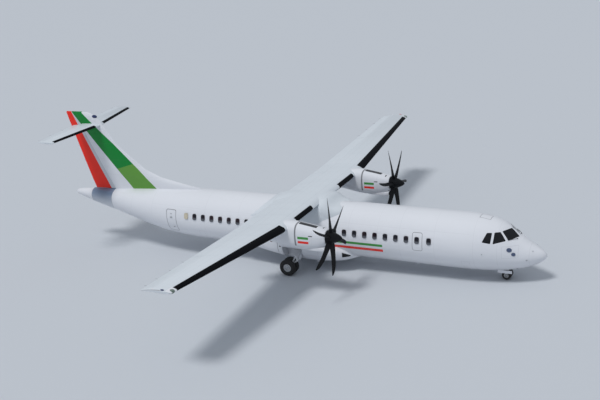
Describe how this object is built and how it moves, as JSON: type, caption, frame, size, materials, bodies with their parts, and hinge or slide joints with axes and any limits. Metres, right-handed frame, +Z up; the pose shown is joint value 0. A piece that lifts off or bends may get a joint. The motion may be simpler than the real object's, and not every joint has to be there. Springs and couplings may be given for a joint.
{
  "type": "turboprop airliner",
  "caption": "High-wing regional turboprop airliner with a T-tail, wing-mounted propellers and retractable landing gear shown down.",
  "frame": {"origin": "on the ground under the middle of the overall box, where the aircraft stands on its tyres", "axes": "+X to port across the span, +Y aft along the fuselage, +Z up"},
  "size_m": [27.05, 27.1484, 7.6445],
  "materials": {
    "white_paint": "gloss paint",
    "grey_paint": "satin paint",
    "band_paint": "gloss paint",
    "cockpit_glass": "polished",
    "propeller_black": "semi-gloss",
    "engine_metal": "brushed",
    "gear_steel": "satin",
    "wheel_alloy": "satin",
    "tyre_rubber": "matte"
  },
  "bodies": {
    "airframe": {"radome": "white_paint", "tail_band": "band_paint", "tail_cone": "white_paint", "pane_front_right": "cockpit_glass", "pane_front_left": "cockpit_glass", "pane_side_right": "cockpit_glass", "pane_side_left": "cockpit_glass", "pane_rear_right": "cockpit_glass", "pane_rear_left": "cockpit_glass", "crew_hatch": "white_paint", "exit_hatch_left": "white_paint", "exit_hatch_right": "white_paint", "wing_left": "grey_paint", "wing_right": "grey_paint", "wing_fairing": "grey_paint", "belly_fairing": "white_paint", "fuselage": "white_paint", "wing_centre": "grey_paint", "nacelle_left": "white_paint", "nacelle_right": "white_paint", "engine_left": "engine_metal", "engine_right": "engine_metal", "fin": "white_paint", "tailplane_left": "grey_paint", "tailplane_right": "grey_paint", "nose_strut": "gear_steel", "nose_gear_door_left": "white_paint", "nose_gear_door_right": "white_paint", "main_leg_left": "gear_steel", "main_leg_right": "gear_steel", "main_gear_door_left": "white_paint", "main_gear_door_right": "white_paint"},
    "steering": {"nose_fork": "gear_steel"},
    "nose_wheels": {"nose_wheels": "wheel_alloy", "nose_tyre_left": "tyre_rubber", "nose_tyre_right": "tyre_rubber"},
    "main_wheels_left": {"main_wheels_left": "wheel_alloy", "main_tyre_left_inner": "tyre_rubber", "main_tyre_left_outer": "tyre_rubber"},
    "main_wheels_right": {"main_wheels_right": "wheel_alloy", "main_tyre_right_inner": "tyre_rubber", "main_tyre_right_outer": "tyre_rubber"},
    "propeller_left": {"propeller_left": "propeller_black", "spinner_left": "propeller_black"},
    "propeller_right": {"propeller_right": "propeller_black", "spinner_right": "propeller_black"},
    "flap_inner_left": {"flap_inner_left": "grey_paint"},
    "flap_inner_right": {"flap_inner_right": "grey_paint"},
    "flap_outer_left": {"flap_outer_left": "grey_paint"},
    "flap_outer_right": {"flap_outer_right": "grey_paint"},
    "aileron_left": {"aileron_left": "grey_paint"},
    "aileron_right": {"aileron_right": "grey_paint"},
    "elevator_left": {"elevator_left": "grey_paint"},
    "elevator_right": {"elevator_right": "grey_paint"},
    "rudder": {"rudder": "white_paint"},
    "passenger_door": {"passenger_door": "white_paint"},
    "service_door": {"service_door": "white_paint"},
    "cargo_door": {"cargo_door": "white_paint"}
  },
  "joints": [
    {"name": "propeller_left_spin", "type": "hinge", "parent": "airframe", "child": "propeller_left", "pos_m": [4.05, -4.37274, 3.06491], "axis": [0, 0.9998, 0.0175], "continuous": true},
    {"name": "propeller_right_spin", "type": "hinge", "parent": "airframe", "child": "propeller_right", "pos_m": [-4.05, -4.37274, 3.06491], "axis": [0, 0.9998, 0.0175], "continuous": true},
    {"name": "steering", "type": "hinge", "parent": "airframe", "child": "steering", "pos_m": [0, -11.6284, 0.46088], "axis": [0, -0.0175, 0.9998], "range_deg": [-60, 60]},
    {"name": "nose_wheel_spin", "type": "hinge", "parent": "steering", "child": "nose_wheels", "pos_m": [0, -11.62428, 0.225], "axis": [1, 0, 0], "continuous": true},
    {"name": "main_wheel_left_spin", "type": "hinge", "parent": "airframe", "child": "main_wheels_left", "pos_m": [2.05, -0.85622, 0.43], "axis": [1, 0, 0], "continuous": true},
    {"name": "main_wheel_right_spin", "type": "hinge", "parent": "airframe", "child": "main_wheels_right", "pos_m": [-2.05, -0.85622, 0.43], "axis": [1, 0, 0], "continuous": true},
    {"name": "flap_inner_left_turn", "type": "hinge", "parent": "airframe", "child": "flap_inner_left", "pos_m": [2.52, -0.45967, 3.5191], "axis": [-1, 0, 0], "range_deg": [0, 35]},
    {"name": "flap_inner_right_turn", "type": "hinge", "parent": "airframe", "child": "flap_inner_right", "pos_m": [-2.52, -0.45967, 3.5191], "axis": [-1, 0, 0], "range_deg": [0, 35]},
    {"name": "flap_outer_left_turn", "type": "hinge", "parent": "airframe", "child": "flap_outer_left", "pos_m": [7.055, -0.45926, 3.65304], "axis": [-0.9982, -0.0002, -0.0593], "range_deg": [0, 35]},
    {"name": "flap_outer_right_turn", "type": "hinge", "parent": "airframe", "child": "flap_outer_right", "pos_m": [-7.055, -0.45926, 3.65304], "axis": [-0.9982, 0.0002, 0.0593], "range_deg": [0, 35]},
    {"name": "aileron_left_turn", "type": "hinge", "parent": "airframe", "child": "aileron_left", "pos_m": [11.215, -0.42195, 3.89815], "axis": [-0.9982, 0.0021, -0.0594], "range_deg": [-14, 14]},
    {"name": "aileron_right_turn", "type": "hinge", "parent": "airframe", "child": "aileron_right", "pos_m": [-11.215, -0.42195, 3.89815], "axis": [-0.9982, -0.0021, 0.0594], "range_deg": [-14, 14]},
    {"name": "elevator_left_turn", "type": "hinge", "parent": "airframe", "child": "elevator_left", "pos_m": [1.905, 12.34907, 6.91533], "axis": [-0.9995, -0.0317, -0.0006], "range_deg": [-23, 16]},
    {"name": "elevator_right_turn", "type": "hinge", "parent": "airframe", "child": "elevator_right", "pos_m": [-1.905, 12.34907, 6.91533], "axis": [-0.9995, 0.0317, 0.0006], "range_deg": [-23, 16]},
    {"name": "rudder_turn", "type": "hinge", "parent": "airframe", "child": "rudder", "pos_m": [0, 11.92203, 5.43765], "axis": [0, 0.4058, 0.914], "range_deg": [-27, 27]},
    {"name": "passenger_door_swing", "type": "hinge", "parent": "airframe", "child": "passenger_door", "pos_m": [1.10953, 6.42777, 1.41115], "axis": [0, 0.9998, 0.0175], "range_deg": [0, 135]},
    {"name": "service_door_swing", "type": "hinge", "parent": "airframe", "child": "service_door", "pos_m": [-1.37577, 6.16611, 2.07669], "axis": [0, -0.0175, 0.9998], "range_deg": [0, 120]},
    {"name": "cargo_door_swing", "type": "hinge", "parent": "airframe", "child": "cargo_door", "pos_m": [1.08794, -9.39808, 2.72515], "axis": [0, -0.9998, -0.0175], "range_deg": [0, 105]}
  ],
  "couplings": [
    {"joint": "flap_inner_left_turn", "follows": "flap_outer_left_turn", "ratio": 1},
    {"joint": "flap_inner_right_turn", "follows": "flap_outer_left_turn", "ratio": 1},
    {"joint": "flap_outer_right_turn", "follows": "flap_outer_left_turn", "ratio": 1},
    {"joint": "aileron_right_turn", "follows": "aileron_left_turn", "ratio": -1},
    {"joint": "elevator_right_turn", "follows": "elevator_left_turn", "ratio": 1}
  ]
}
